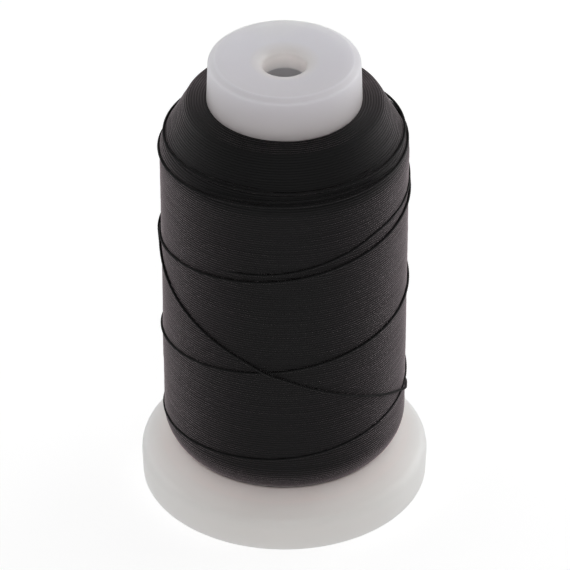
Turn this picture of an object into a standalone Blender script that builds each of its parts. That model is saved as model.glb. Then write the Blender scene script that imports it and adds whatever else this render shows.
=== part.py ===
"""Spool of thread with a snap-open foot.

Two white plastic mouldings and a length of thread. The barrel is a hollow tube whose collar stands
out of the thread at the top, closed by a web with a trumpet-mouthed hole for a spindle. The foot is
a wide disc whose sleeve plugs into the barrel. Four sprung fingers on the sleeve end in hooks that
ride in pockets of the barrel's wall, so the barrel lifts a little way off the foot and opens a
groove round the edge, which nips the thread's end when it snaps shut again.

Metres, +Z up. The origin is on the surface that the foot stands on, on the spool's axis.
"""

import math

import bmesh
import bpy
from mathutils import Matrix, Vector

MM = 0.001

# The whole spool
HEIGHT = 66.7 * MM
LIFT = 2.6 * MM  # how far the barrel rises off the foot when it snaps open
GAP = 0.3 * MM  # between pieces that touch on the real spool
FOOT_STEPS = 60  # sides of each turned piece
BARREL_STEPS = 48
WINDING_STEPS = 60
ROUNDING_STEPS = 3  # faces across a rounded corner
LOWER_STEPS = 5  # faces across the winding's lower rounding

# Foot
FOOT_RADIUS = 19.3 * MM
FOOT_FLARE = 0.2 * MM  # the rim leans out by this much over its height
RIM_HEIGHT = 4.7 * MM
RIM_ROUNDING = 2.0 * MM
RIM_WALL = 1.4 * MM
SEAM_RADIUS = 14.3 * MM  # where the foot's slope ends, under the thread
SEAM_HEIGHT = 7.0 * MM
DECK_TOP = 5.3 * MM
DECK_UNDERSIDE = 3.9 * MM
SLEEVE_RADIUS = 9.3 * MM
SLEEVE_BORE = 8.0 * MM
SLEEVE_BOTTOM = 1.0 * MM
SLEEVE_TOP = 15.0 * MM
SLEEVE_LEAD = 0.5 * MM  # chamfer that leads the sleeve into the barrel
EDGE_ROUNDING = 0.3 * MM

# Snap fingers
FINGER_COUNT = 4
FINGER_HALF_ANGLE = math.radians(20)
SLOT_WIDTH = 1.0 * MM
SLOT_BOTTOM = 8.3 * MM
HOOK_WIDTH = 3.6 * MM
HOOK_REACH = 0.6 * MM
HOOK_UNDERSIDE = 13.0 * MM
HOOK_ROOT = 0.5 * MM  # how deep the hook is set in the finger
POCKET_CLEARANCE = 0.4 * MM
CUTTER_OVERRUN = 1.0 * MM

# Stiffening ribs under the foot
RIB_COUNT = 6
RIB_THICKNESS = 1.0 * MM
RIB_FIRST_ANGLE = math.radians(15)
RIB_SET_IN = 0.6 * MM  # how deep the ribs run into the sleeve and the rim

# Barrel
COLLAR_RADIUS = 10.17 * MM
BEVEL_WIDTH = 0.97 * MM  # of the collar's top edge
BEVEL_DROP = 0.55 * MM
BARREL_RADIUS_AT_THREAD = 10.34 * MM  # at the height where the collar comes out of the thread
BARREL_RADIUS_AT_FLANGE = 11.3 * MM
BARREL_WALL = 1.5 * MM
THREAD_TOP = 60.6 * MM
FLANGE_RADIUS = 13.7 * MM
FLANGE_TOP = 7.15 * MM
FLANGE_CHAMFER = 0.65 * MM
LAND_INNER_RADIUS = 8.2 * MM  # inner edge of the collar's flat top
DISH_DEPTH = 0.35 * MM
MOUTH_RADIUS = 4.6 * MM
MOUTH_DEPTH = 0.9 * MM
MOUTH_STEPS = 5
HOLE_RADIUS = 2.95 * MM
WEB_THICKNESS = 3.4 * MM  # from the collar's top to the web's underside

# Wound thread
WINDING_RADIUS_LOW = 16.33 * MM
WINDING_RADIUS_HIGH = 16.62 * MM
WINDING_BOTTOM = 7.5 * MM
LOWER_ROUNDING = 5.07 * MM
LOWER_ROUNDING_CENTRE = 10.99 * MM
SHOULDER_EDGE = 53.6 * MM  # height of the corner between the side and the shoulder's slope
SHOULDER_EDGE_ROUNDING = 4.0 * MM
SHOULDER_TOP_RADIUS = 13.15 * MM
SHOULDER_TOP = 60.1 * MM
SHOULDER_TOP_ROUNDING = 1.2 * MM

# The last wraps of thread, which cross over the winding and end in the groove of the foot
THREAD_DIAMETER = 0.38 * MM
THREAD_LIFT = 0.14 * MM  # clearance of the thread over the winding under it
WRAP_STEP = 12.0  # degrees of turn between points
CROSSING_STEP = 4.0
CROSSING_LIFT = 0.52 * MM
CROSSING_REACH = 1.6 * MM
CROSSINGS_FROM = 1500  # degrees: the way down to the foot, which crosses the earlier turns
TAIL_STEP = 5.0
THREAD_SIDES = 8

SHARP_ANGLE = math.radians(32)


# ---------------------------------------------------------------- outlines


def arc(centre, radius, start, end, steps):
    """Points of a circular arc in the (radius, height) plane, with the angles in degrees."""
    points = []
    for i in range(steps + 1):
        angle = math.radians(start + (end - start) * i / steps)
        points.append((centre[0] + radius * math.cos(angle), centre[1] + radius * math.sin(angle)))
    return points


def rounded_corner(before, corner, after, radius, steps):
    """The arc that rounds a corner of an outline, from one side's tangent point to the other's."""
    corner = Vector(corner)
    to_before = (Vector(before) - corner).normalized()
    to_after = (Vector(after) - corner).normalized()
    half = to_before.angle(to_after) / 2
    centre = corner + (to_before + to_after).normalized() * radius / math.sin(half)
    first = corner + to_before * radius / math.tan(half) - centre
    last = corner + to_after * radius / math.tan(half) - centre
    spokes = [first.lerp(last, i / steps).normalized() * radius for i in range(steps + 1)]
    return [tuple(centre + spoke) for spoke in spokes]


def outline(corners, steps=ROUNDING_STEPS):
    """A closed outline from (radius, height) corners; a third number rounds that corner."""
    points = []
    for i, corner in enumerate(corners):
        if len(corner) == 2:
            points.append(corner)
            continue
        before, after = corners[i - 1], corners[(i + 1) % len(corners)]
        points += rounded_corner(before[:2], corner[:2], after[:2], corner[2], steps)
    return points


# ---------------------------------------------------------------- objects


def new_collection(name):
    collection = bpy.data.collections.new(name)
    bpy.context.scene.collection.children.link(collection)
    return collection


def material(name, colour, roughness, transmission=0.0):
    made = bpy.data.materials.new(name)
    made.use_nodes = True
    shader = made.node_tree.nodes["Principled BSDF"]
    shader.inputs["Base Color"].default_value = (*colour, 1.0)
    shader.inputs["Roughness"].default_value = roughness
    shader.inputs["Transmission Weight"].default_value = transmission
    return made


def turned(name, points, collection, steps):
    """A closed outline turned about Z, with a Screw modifier."""
    mesh = bpy.data.meshes.new(name)
    count = len(points)
    edges = [(i, (i + 1) % count) for i in range(count)]
    mesh.from_pydata([(r, 0.0, z) for r, z in points], edges, [])
    obj = bpy.data.objects.new(name, mesh)
    collection.objects.link(obj)
    screw = obj.modifiers.new("turn", "SCREW")
    screw.angle = 2 * math.pi
    screw.steps = steps
    screw.render_steps = steps
    screw.use_merge_vertices = True
    screw.merge_threshold = 0.00001
    return obj


def around_axis(mesh, angles):
    """Repeats a mesh's shape about Z, once at each angle."""
    ring = bmesh.new()
    for angle in angles:
        copy = mesh.copy()
        copy.transform(Matrix.Rotation(angle, 4, "Z"))
        ring.from_mesh(copy)
        bpy.data.meshes.remove(copy)
    ring.to_mesh(mesh)
    ring.free()


def evenly(count, first=0.0):
    """Angles that share out a full turn."""
    return [first + 2 * math.pi * i / count for i in range(count)]


def upright_prism(name, points, thickness, collection):
    """A flat outline in the XZ plane, extruded along Y to its full thickness, as a closed mesh."""
    curve = bpy.data.curves.new(name, "CURVE")
    curve.dimensions = "2D"
    curve.fill_mode = "BOTH"
    curve.extrude = thickness / 2
    spline = curve.splines.new("POLY")
    spline.points.add(len(points) - 1)
    for point, (r, z) in zip(spline.points, points):
        point.co = (r, z, 0.0, 1.0)
    spline.use_cyclic_u = True
    flat = bpy.data.objects.new(name + "_outline", curve)
    collection.objects.link(flat)
    flat.rotation_euler = (math.pi / 2, 0.0, 0.0)
    bpy.context.view_layer.update()
    mesh = bpy.data.meshes.new_from_object(flat.evaluated_get(bpy.context.evaluated_depsgraph_get()))
    mesh.transform(flat.matrix_world)
    bpy.data.objects.remove(flat)
    shape = bmesh.new()
    shape.from_mesh(mesh)
    bmesh.ops.remove_doubles(shape, verts=shape.verts, dist=0.000001)
    bmesh.ops.recalc_face_normals(shape, faces=shape.faces)
    shape.to_mesh(mesh)
    shape.free()
    prism = bpy.data.objects.new(name, mesh)
    collection.objects.link(prism)
    return prism


def helper(obj):
    """Keeps a cutter or a joined shape out of the render."""
    obj.hide_render = True
    obj.display_type = "WIRE"


def boolean(obj, operand, operation):
    modifier = obj.modifiers.new(operand.name, "BOOLEAN")
    modifier.operation = operation
    modifier.object = operand
    modifier.solver = "EXACT"


def settle(obj, look):
    """Makes the modifiers' result the object's own mesh, shades its round faces and gives its material."""
    bpy.context.view_layer.update()
    evaluated = obj.evaluated_get(bpy.context.evaluated_depsgraph_get())
    mesh = bpy.data.meshes.new_from_object(evaluated)
    mesh.name = obj.name
    obj.modifiers.clear()
    obj.data = mesh
    mesh.shade_smooth()
    mesh.set_sharp_from_angle(angle=SHARP_ANGLE)
    mesh.materials.clear()
    mesh.materials.append(look)


# ---------------------------------------------------------------- foot


def foot_outline():
    """The foot in section: the rim and slope outside, the deck, the sleeve, and the hollow beneath."""
    inner_rim = FOOT_RADIUS - RIM_WALL
    return outline(
        [
            (SEAM_RADIUS, SEAM_HEIGHT, 0.15 * MM),
            (FOOT_RADIUS + FOOT_FLARE, RIM_HEIGHT, RIM_ROUNDING),
            (FOOT_RADIUS, 0.0, EDGE_ROUNDING),
            (inner_rim, 0.0),
            (inner_rim + 0.2 * MM, 3.3 * MM, 0.8 * MM),
            (SEAM_RADIUS - 0.2 * MM, 4.9 * MM),
            (SEAM_RADIUS - 1.0 * MM, DECK_UNDERSIDE),
            (SLEEVE_RADIUS + 0.1 * MM, DECK_UNDERSIDE, 0.4 * MM),
            (SLEEVE_RADIUS, SLEEVE_BOTTOM, EDGE_ROUNDING),
            (SLEEVE_BORE, SLEEVE_BOTTOM, EDGE_ROUNDING),
            (SLEEVE_BORE, SLEEVE_TOP),
            (SLEEVE_RADIUS - SLEEVE_LEAD, SLEEVE_TOP),
            (SLEEVE_RADIUS, SLEEVE_TOP - 1.2 * SLEEVE_LEAD),
            (SLEEVE_RADIUS, DECK_TOP, 0.4 * MM),
            (SEAM_RADIUS, DECK_TOP),
        ]
    )


def finger_slots(cutters):
    """A slot each side of every finger."""
    slot = upright_prism(
        "finger_slots",
        [
            (SLEEVE_BORE - CUTTER_OVERRUN, SLOT_BOTTOM),
            (SLEEVE_RADIUS + CUTTER_OVERRUN, SLOT_BOTTOM),
            (SLEEVE_RADIUS + CUTTER_OVERRUN, SLEEVE_TOP + CUTTER_OVERRUN),
            (SLEEVE_BORE - CUTTER_OVERRUN, SLEEVE_TOP + CUTTER_OVERRUN),
        ],
        SLOT_WIDTH,
        cutters,
    )
    sides = evenly(FINGER_COUNT, -FINGER_HALF_ANGLE) + evenly(FINGER_COUNT, FINGER_HALF_ANGLE)
    around_axis(slot.data, sides)
    return slot


def hooks(cutters):
    """The wedge-shaped hook at the tip of each finger, flat beneath and sloped above."""
    root = SLEEVE_RADIUS - HOOK_ROOT
    tip = SLEEVE_RADIUS + HOOK_REACH
    hook = upright_prism(
        "hooks",
        [
            (root, HOOK_UNDERSIDE),
            (tip, HOOK_UNDERSIDE + 0.1 * MM),
            (tip, HOOK_UNDERSIDE + 0.5 * MM),
            (root, SLEEVE_TOP - 0.3 * MM),
        ],
        HOOK_WIDTH,
        cutters,
    )
    around_axis(hook.data, evenly(FINGER_COUNT))
    return hook


def ribs(cutters):
    """Radial ribs under the deck, between the sleeve and the rim."""
    bottom = SLEEVE_BOTTOM + EDGE_ROUNDING
    inner = SLEEVE_RADIUS - RIB_SET_IN
    outer = FOOT_RADIUS - RIM_WALL + RIB_SET_IN
    top = DECK_UNDERSIDE + RIB_SET_IN
    rib = upright_prism(
        "ribs",
        [
            (inner, bottom),
            (outer, bottom),
            (outer, DECK_UNDERSIDE),
            (SEAM_RADIUS + 0.2 * MM, top + 1.1 * MM),
            (SEAM_RADIUS - 1.2 * MM, top),
            (inner, top),
        ],
        RIB_THICKNESS,
        cutters,
    )
    around_axis(rib.data, evenly(RIB_COUNT, RIB_FIRST_ANGLE))
    return rib


def make_foot(parts, cutters, look):
    foot = turned("snap_base", foot_outline(), parts, FOOT_STEPS)
    for shape, operation in (
        (finger_slots(cutters), "DIFFERENCE"),
        (hooks(cutters), "UNION"),
        (ribs(cutters), "UNION"),
    ):
        helper(shape)
        boolean(foot, shape, operation)
    settle(foot, look)
    return foot


# ---------------------------------------------------------------- barrel


def barrel_radius(height):
    """The tube's outside under the thread, a straight taper."""
    share = (height - FLANGE_TOP) / (THREAD_TOP - FLANGE_TOP)
    return BARREL_RADIUS_AT_FLANGE + share * (BARREL_RADIUS_AT_THREAD - BARREL_RADIUS_AT_FLANGE)


def barrel_outline():
    """The barrel in section, from the collar's top down the outside and up the inside."""
    web_underside = HEIGHT - WEB_THICKNESS
    mouth_top = HEIGHT - DISH_DEPTH
    mouth_width = MOUTH_RADIUS - HOLE_RADIUS
    mouth = []
    for i in range(1, MOUTH_STEPS + 1):
        angle = math.radians(90 * i / MOUTH_STEPS)
        mouth.append(
            (
                HOLE_RADIUS + mouth_width * (1 - math.cos(angle)),
                mouth_top - MOUTH_DEPTH * (1 - math.sin(angle)),
            )
        )
    return outline(
        [
            (COLLAR_RADIUS - BEVEL_WIDTH, HEIGHT, 0.15 * MM),
            (COLLAR_RADIUS, HEIGHT - BEVEL_DROP, 0.4 * MM),
            (BARREL_RADIUS_AT_THREAD, THREAD_TOP),
            (BARREL_RADIUS_AT_FLANGE, FLANGE_TOP, EDGE_ROUNDING),
            (FLANGE_RADIUS - FLANGE_CHAMFER, FLANGE_TOP),
            (FLANGE_RADIUS, FLANGE_TOP - FLANGE_CHAMFER),
            (FLANGE_RADIUS, DECK_TOP + GAP, 0.2 * MM),
            (SLEEVE_RADIUS + 0.75 * MM, DECK_TOP + GAP),
            (BARREL_RADIUS_AT_FLANGE - BARREL_WALL, DECK_TOP + 1.2 * MM),
            (BARREL_RADIUS_AT_THREAD - BARREL_WALL, web_underside, 0.6 * MM),
            (HOLE_RADIUS, web_underside),
            (HOLE_RADIUS, mouth_top - MOUTH_DEPTH),
            *mouth,
            (LAND_INNER_RADIUS, HEIGHT),
        ]
    )


def hook_pockets(cutters):
    """The pockets in the tube's wall that the hooks ride in: their length sets the lift."""
    top = SLEEVE_TOP + GAP
    bottom = HOOK_UNDERSIDE - LIFT - GAP
    pocket = upright_prism(
        "hook_pockets",
        [
            (SLEEVE_RADIUS - GAP, bottom),
            (SLEEVE_RADIUS + HOOK_REACH + POCKET_CLEARANCE, bottom),
            (SLEEVE_RADIUS + HOOK_REACH + POCKET_CLEARANCE, top),
            (SLEEVE_RADIUS - GAP, top),
        ],
        HOOK_WIDTH + 2 * POCKET_CLEARANCE,
        cutters,
    )
    around_axis(pocket.data, evenly(FINGER_COUNT))
    return pocket


def make_barrel(parts, cutters, look):
    barrel = turned("spool_barrel", barrel_outline(), parts, BARREL_STEPS)
    pockets = hook_pockets(cutters)
    helper(pockets)
    boolean(barrel, pockets, "DIFFERENCE")
    settle(barrel, look)
    return barrel


# ---------------------------------------------------------------- thread


def winding_outline():
    """The wound thread in section: flat beneath, rounded low on its side, sloped at the shoulder."""
    drop = LOWER_ROUNDING_CENTRE - WINDING_BOTTOM
    last = -math.degrees(math.asin(drop / LOWER_ROUNDING))
    centre = (WINDING_RADIUS_LOW - LOWER_ROUNDING, LOWER_ROUNDING_CENTRE)
    lower = arc(centre, LOWER_ROUNDING, 0.0, last, LOWER_STEPS)
    upper = outline(
        [
            (BARREL_RADIUS_AT_THREAD + GAP, THREAD_TOP),
            (SHOULDER_TOP_RADIUS, SHOULDER_TOP, SHOULDER_TOP_ROUNDING),
            (WINDING_RADIUS_HIGH, SHOULDER_EDGE, SHOULDER_EDGE_ROUNDING),
            (WINDING_RADIUS_LOW, LOWER_ROUNDING_CENTRE),
        ]
    )
    inner = [(barrel_radius(WINDING_BOTTOM) + GAP, WINDING_BOTTOM)]
    return upper[:-1] + lower + inner


def make_winding(parts, look):
    winding = turned("thread_winding", winding_outline(), parts, WINDING_STEPS)
    settle(winding, look)
    return winding


def surface_radius(height):
    """The winding's outer radius at a height, read off its outline."""
    side = winding_outline()[:-1]
    for (r0, z0), (r1, z1) in zip(side, side[1:]):
        if z1 <= height <= z0:
            return r0 + (r1 - r0) * (height - z0) / (z1 - z0)
    return side[-1][0]


def radius_over_surface(height, clearance):
    """The radius that stands a clearance off the winding, measured square to its slope."""
    step = 0.1 * MM
    lean = (surface_radius(height + step) - surface_radius(height - step)) / (2 * step)
    return surface_radius(height) + clearance * math.hypot(1.0, lean)


# (degrees of turn, height in mm). The thread climbs the winding in open turns, goes twice round the
# shoulder, and comes down steeply over its own turns to the foot. Turn 0, 360 and so on face -Y.
WRAP_STATIONS = [
    (-150, 9.4),
    (-70, 11.6),
    (0, 13.1),
    (71, 15.9),
    (290, 25.0),
    (360, 27.7),
    (438, 31.4),
    (650, 40.0),
    (720, 42.5),
    (796, 46.0),
    (1006, 53.2),
    (1090, 54.2),
    (1300, 54.4),
    (1420, 55.7),
    (1500, 55.5),
    (1575, 54.3),
    (1620, 50.0),
    (1727, 35.7),
    (1800, 26.3),
    (1881, 15.4),
    (1935, 8.3),
]
# (degrees, radius in mm, height in mm) of the tail, from the winding's lower edge into the groove
TAIL_STATIONS = [
    (1940, 15.5, 7.7),
    (1947, 14.98, 7.24),
    (1953, 14.36, 7.25),
    (1961, 14.02, 6.95),
    (1969, 14.0, 6.5),
    (1982, 14.0, 6.3),
    (2015, 14.0, 6.3),
]


def smooth_height(turn):
    """The wrap's height at a turn, by a cubic curve that doesn't overshoot its stations."""
    stations = WRAP_STATIONS
    index = 0
    while index < len(stations) - 2 and turn > stations[index + 1][0]:
        index += 1

    def slope(i):
        if i == 0 or i == len(stations) - 1:
            near = min(max(i, 1), len(stations) - 1)
            return (stations[near][1] - stations[near - 1][1]) / (stations[near][0] - stations[near - 1][0])
        left = (stations[i][1] - stations[i - 1][1]) / (stations[i][0] - stations[i - 1][0])
        right = (stations[i + 1][1] - stations[i][1]) / (stations[i + 1][0] - stations[i][0])
        return 0.0 if left * right <= 0 else 2 * left * right / (left + right)

    (t0, h0), (t1, h1) = stations[index], stations[index + 1]
    width = t1 - t0
    u = (turn - t0) / width
    height = (
        (1 + 2 * u) * (1 - u) ** 2 * h0
        + u * (1 - u) ** 2 * width * slope(index)
        + u * u * (3 - 2 * u) * h1
        + u * u * (u - 1) * width * slope(index + 1)
    )
    return height * MM


def crossing_lift(turn):
    """How far the thread rises at a turn to pass over the turns that it crosses."""
    lift = 0.0
    earlier = turn - 360
    while earlier > WRAP_STATIONS[0][0]:
        apart = abs(smooth_height(turn) - smooth_height(earlier)) / CROSSING_REACH
        if apart < 1 and turn > CROSSINGS_FROM:
            lift = max(lift, CROSSING_LIFT * math.cos(apart * math.pi / 2) ** 2)
        earlier -= 360
    return lift


def wrap_turns():
    """The turns of the wrap's points: far apart, but close over a crossing and round the lower edge."""
    turns = []
    turn = float(WRAP_STATIONS[0][0])
    while turn < WRAP_STATIONS[-1][0]:
        turns.append(turn)
        crossing = crossing_lift(turn + CROSSING_STEP) > 0 or crossing_lift(turn) > 0
        rounding = smooth_height(turn) < LOWER_ROUNDING_CENTRE
        turn += CROSSING_STEP if crossing or rounding else WRAP_STEP
    turns.append(float(WRAP_STATIONS[-1][0]))
    return turns


def wrap_route():
    """The points of the last wraps' centreline, from where they leave the winding to their nipped end."""
    points = []
    for turn in wrap_turns():
        height = smooth_height(turn)
        clearance = THREAD_DIAMETER / 2 + THREAD_LIFT + crossing_lift(turn)
        radius = radius_over_surface(height, clearance)
        points.append((turn, radius, height))
    for (turn, radius, height), (after, next_radius, next_height) in zip(TAIL_STATIONS, TAIL_STATIONS[1:]):
        steps = max(1, round((after - turn) / TAIL_STEP))
        for i in range(steps):
            share = i / steps
            points.append(
                (
                    turn + share * (after - turn),
                    (radius + share * (next_radius - radius)) * MM,
                    (height + share * (next_height - height)) * MM,
                )
            )
    turn, radius, height = TAIL_STATIONS[-1]
    points.append((turn, radius * MM, height * MM))
    return [
        (r * math.sin(math.radians(t)), -r * math.cos(math.radians(t)), h) for t, r, h in points
    ]


def make_wraps(parts, look):
    curve = bpy.data.curves.new("last_wraps", "CURVE")
    curve.dimensions = "3D"
    curve.bevel_depth = THREAD_DIAMETER / 2
    curve.bevel_resolution = THREAD_SIDES // 2 - 2
    curve.use_fill_caps = True
    points = wrap_route()
    spline = curve.splines.new("POLY")
    spline.points.add(len(points) - 1)
    for point, place in zip(spline.points, points):
        point.co = (*place, 1.0)
    curve.materials.append(look)
    wraps = bpy.data.objects.new("last_wraps", curve)
    parts.objects.link(wraps)
    return wraps


# ---------------------------------------------------------------- the spool


def main():
    for obj in list(bpy.data.objects):
        bpy.data.objects.remove(obj)
    bpy.context.scene.unit_settings.system = "METRIC"
    parts = new_collection("spool_of_thread")
    cutters = new_collection("cutters")
    plastic = material("milky_plastic", (0.72, 0.71, 0.73), 0.38, transmission=0.1)
    thread = material("black_thread", (0.018, 0.017, 0.018), 0.7)

    make_foot(parts, cutters, plastic)
    lift = bpy.data.objects.new("barrel_lift", None)
    lift.empty_display_size = 20 * MM
    parts.objects.link(lift)
    for piece in (
        make_barrel(parts, cutters, plastic),
        make_winding(parts, thread),
        make_wraps(parts, thread),
    ):
        piece.parent = lift
    for shape in list(cutters.objects):
        bpy.data.objects.remove(shape)
    bpy.data.collections.remove(cutters)


main()
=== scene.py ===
"""The looks of the spool of thread: milky plastic mouldings, wound black thread and its last open wraps.

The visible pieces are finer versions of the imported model's solids, made from the same outlines and the
same route of the thread. Lengths are in metres and +Z is up.
"""

import math

import bmesh
import bpy
import numpy as np
from mathutils import Matrix, Vector


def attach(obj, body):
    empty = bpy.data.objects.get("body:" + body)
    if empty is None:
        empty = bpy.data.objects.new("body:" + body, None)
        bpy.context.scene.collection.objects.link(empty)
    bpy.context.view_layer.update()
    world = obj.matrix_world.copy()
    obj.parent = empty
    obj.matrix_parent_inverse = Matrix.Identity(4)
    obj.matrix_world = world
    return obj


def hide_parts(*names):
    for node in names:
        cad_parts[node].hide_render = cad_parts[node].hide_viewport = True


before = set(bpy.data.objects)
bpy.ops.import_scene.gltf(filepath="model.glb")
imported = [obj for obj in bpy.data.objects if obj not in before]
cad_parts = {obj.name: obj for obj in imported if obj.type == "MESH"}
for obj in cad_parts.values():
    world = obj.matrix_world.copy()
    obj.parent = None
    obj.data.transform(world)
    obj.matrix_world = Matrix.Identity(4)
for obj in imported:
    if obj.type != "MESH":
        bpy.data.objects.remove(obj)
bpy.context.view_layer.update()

MM = 0.001
TURN = 2 * math.pi

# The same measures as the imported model's source
HEIGHT = 66.7 * MM
LIFT = 2.6 * MM
GAP = 0.3 * MM
FOOT_RADIUS = 19.3 * MM
FOOT_FLARE = 0.2 * MM
RIM_HEIGHT = 4.7 * MM
RIM_ROUNDING = 2.0 * MM
RIM_WALL = 1.4 * MM
SEAM_RADIUS = 14.3 * MM
SEAM_HEIGHT = 7.0 * MM
DECK_TOP = 5.3 * MM
DECK_UNDERSIDE = 3.9 * MM
SLEEVE_RADIUS = 9.3 * MM
SLEEVE_BORE = 8.0 * MM
SLEEVE_BOTTOM = 1.0 * MM
SLEEVE_TOP = 15.0 * MM
SLEEVE_LEAD = 0.5 * MM
EDGE_ROUNDING = 0.3 * MM
FINGER_COUNT = 4
FINGER_HALF_ANGLE = math.radians(20)
SLOT_WIDTH = 1.0 * MM
SLOT_BOTTOM = 8.3 * MM
HOOK_WIDTH = 3.6 * MM
HOOK_REACH = 0.6 * MM
HOOK_UNDERSIDE = 13.0 * MM
HOOK_ROOT = 0.5 * MM
POCKET_CLEARANCE = 0.4 * MM
CUTTER_OVERRUN = 1.0 * MM
RIB_COUNT = 6
RIB_THICKNESS = 1.0 * MM
RIB_FIRST_ANGLE = math.radians(15)
RIB_SET_IN = 0.6 * MM
COLLAR_RADIUS = 10.17 * MM
BEVEL_WIDTH = 0.97 * MM
BEVEL_DROP = 0.55 * MM
BARREL_RADIUS_AT_THREAD = 10.34 * MM
BARREL_RADIUS_AT_FLANGE = 11.3 * MM
BARREL_WALL = 1.5 * MM
THREAD_TOP = 60.6 * MM
FLANGE_RADIUS = 13.7 * MM
FLANGE_TOP = 7.15 * MM
FLANGE_CHAMFER = 0.65 * MM
LAND_INNER_RADIUS = 8.2 * MM
DISH_DEPTH = 0.35 * MM
MOUTH_RADIUS = 4.6 * MM
MOUTH_DEPTH = 0.9 * MM
HOLE_RADIUS = 2.95 * MM
WEB_THICKNESS = 3.4 * MM
WINDING_RADIUS_LOW = 16.33 * MM
WINDING_RADIUS_HIGH = 16.62 * MM
WINDING_BOTTOM = 7.5 * MM
LOWER_ROUNDING = 5.07 * MM
LOWER_ROUNDING_CENTRE = 10.99 * MM
SHOULDER_EDGE = 53.6 * MM
SHOULDER_EDGE_ROUNDING = 4.0 * MM
SHOULDER_TOP_RADIUS = 13.15 * MM
SHOULDER_TOP = 60.1 * MM
SHOULDER_TOP_ROUNDING = 1.2 * MM
THREAD_DIAMETER = 0.38 * MM
CROSSINGS_FROM = 1500  # degrees

# How finely the visible pieces are made
TURNED_STEPS = 180
CORNER_STEPS = 8
MOUTH_STEPS = 16
SIDE_STEPS = 12  # in each rounding of the winding's side
SHARP_ANGLE = math.radians(32)

# The wound thread's lay
LAY_PITCH = 0.36 * MM  # from one turn to the next
LAY_ROWS = 5  # rows of the mesh across one turn
LAY_COLUMNS = 120  # points round one turn
LAY_WANDER = 0.035 * MM  # how far a turn strays along the winding
LAY_PROUD = 0.018 * MM  # how far a turn stands out or in
LAY_PROUD_FINE = 0.012 * MM
SWELLING = 0.03 * MM  # of the winding as a whole
SWELLING_WAVES = 14
SWELLING_FADE = 2.0 * MM  # from each end of the winding
NORMAL_REACH = 0.5 * MM  # the side's direction is taken over this far each way
TWISTS_PER_TURN = 84
TWIST_LENGTH = 1.25 * MM
PLIES = 3
PLY_RELIEF = 0.10  # of the thread's radius
PLY_SHARPNESS = 0.8  # lower is rounder plies with narrower grooves
STRAND_SIDES = 4 * PLIES  # of an open wrap's section

# The open wraps
WRAP_SEAT = 0.155 * MM  # how far their centreline stands off the winding
CROSSING_RISE = 0.36 * MM  # over a turn that they cross
CROSSING_REACH = 1.5 * MM
WRAP_STEP = 2.0  # degrees between points
TAIL_STEP = 3.0
EMERGING_TURN = 25.0  # degrees over which the thread comes up from among the winding's turns
EMERGING_DEPTH = 0.35 * MM
SETTLED_FROM = 60.0  # degrees: the first wrap lies deeper until here, and rises over the next ones
SETTLED_OVER = 120.0
SETTLED_DEPTH = 0.12 * MM
SUNK_DEPTH = 0.32 * MM  # how far an earlier wrap dips at its ends
SUNK_TURN = 18.0  # degrees over which it dips
EASING_PASSES = 3

# Colours of the plastic with its painted shade and highlights, and how strongly the painted glow, standing in
# for light that has come through it, shows
FOOT_CLEAR = (0.95, 0.875, 0.845)
FOOT_CLOUDY = (0.92, 0.845, 0.815)
FOOT_OUTER = (0.955, 0.94, 0.915)
FOOT_FRONT_SHADE = (0.85, 0.82, 0.79)
FOOT_GLOW = (1.0, 0.80, 0.77)
FOOT_GLOW_BY_THREAD, FOOT_GLOW_OUTSIDE = 0.15, 0.05
BARREL_CLEAR = (0.93, 0.92, 0.985)
BARREL_CLOUDY = (0.90, 0.89, 0.955)
BARREL_FRONT_SHADE = (0.74, 0.715, 0.745)
BARREL_LOW_SHADE = (0.65, 0.605, 0.60)
BARREL_MOUTH_SHADE = (0.83, 0.79, 0.775)
BARREL_GLOW = (1.0, 0.96, 0.93)
BARREL_GLOW_DEEP, BARREL_GLOW_SHALLOW = 0.165, 0.125

# Colours of the thread face on, of its painted sheen at a glancing angle, and of its sheen
THREAD_DARK = (0.001, 0.001, 0.0011)
THREAD_LIGHT = (0.0042, 0.0042, 0.0044)
THREAD_PAINTED_SHEEN = (0.21, 0.172, 0.183)
THREAD_SHEEN = (1.0, 0.86, 0.90)

# The camera and the studio
CAMERA_DISTANCE = 0.99895
CAMERA_ELEVATION = math.radians(35.24)
CAMERA_TARGET = (0.0, 0.0, 30.19 * MM)
CAMERA_LENS = 468.64
CAMERA_SHIFT = 0.0009
PANELS_TARGET = (0.0, 0.0, 0.035)
PAPER_RADIUS = 2.0  # where the floor starts to curve up
PAPER_CURVE = 0.6
PAPER_TOP = 2.6
PAPER_STEPS = 64
PAPER_CURVE_STEPS = 8
PAPER_DROP = 0.02 * MM  # keeps the floor just clear of the foot

rng = np.random.default_rng(20)


# ---------------------------------------------------------------- outlines


def about_axis(radius, angle, height):
    """The place at an angle about Z. Angle 0 faces -Y."""
    return (radius * math.sin(angle), -radius * math.cos(angle), height)


def rounded_corner(before, corner, after, radius, steps):
    """The points of an arc that rounds the corner between two straight sides."""
    corner = Vector(corner)
    to_before = (Vector(before) - corner).normalized()
    to_after = (Vector(after) - corner).normalized()
    half = to_before.angle(to_after) / 2
    centre = corner + (to_before + to_after).normalized() * radius / math.sin(half)
    first = corner + to_before * radius / math.tan(half) - centre
    last = corner + to_after * radius / math.tan(half) - centre
    spokes = [first.slerp(last, i / steps).normalized() * radius for i in range(steps + 1)]
    return [tuple(centre + spoke) for spoke in spokes]


def outline(corners, steps=CORNER_STEPS):
    """A closed outline from (radius, height) corners; a third number rounds that corner."""
    points = []
    for i, corner in enumerate(corners):
        if len(corner) == 2:
            points.append(tuple(corner))
            continue
        before, after = corners[i - 1], corners[(i + 1) % len(corners)]
        points += rounded_corner(before[:2], corner[:2], after[:2], corner[2], steps)
    return points


# ---------------------------------------------------------------- meshes


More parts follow.
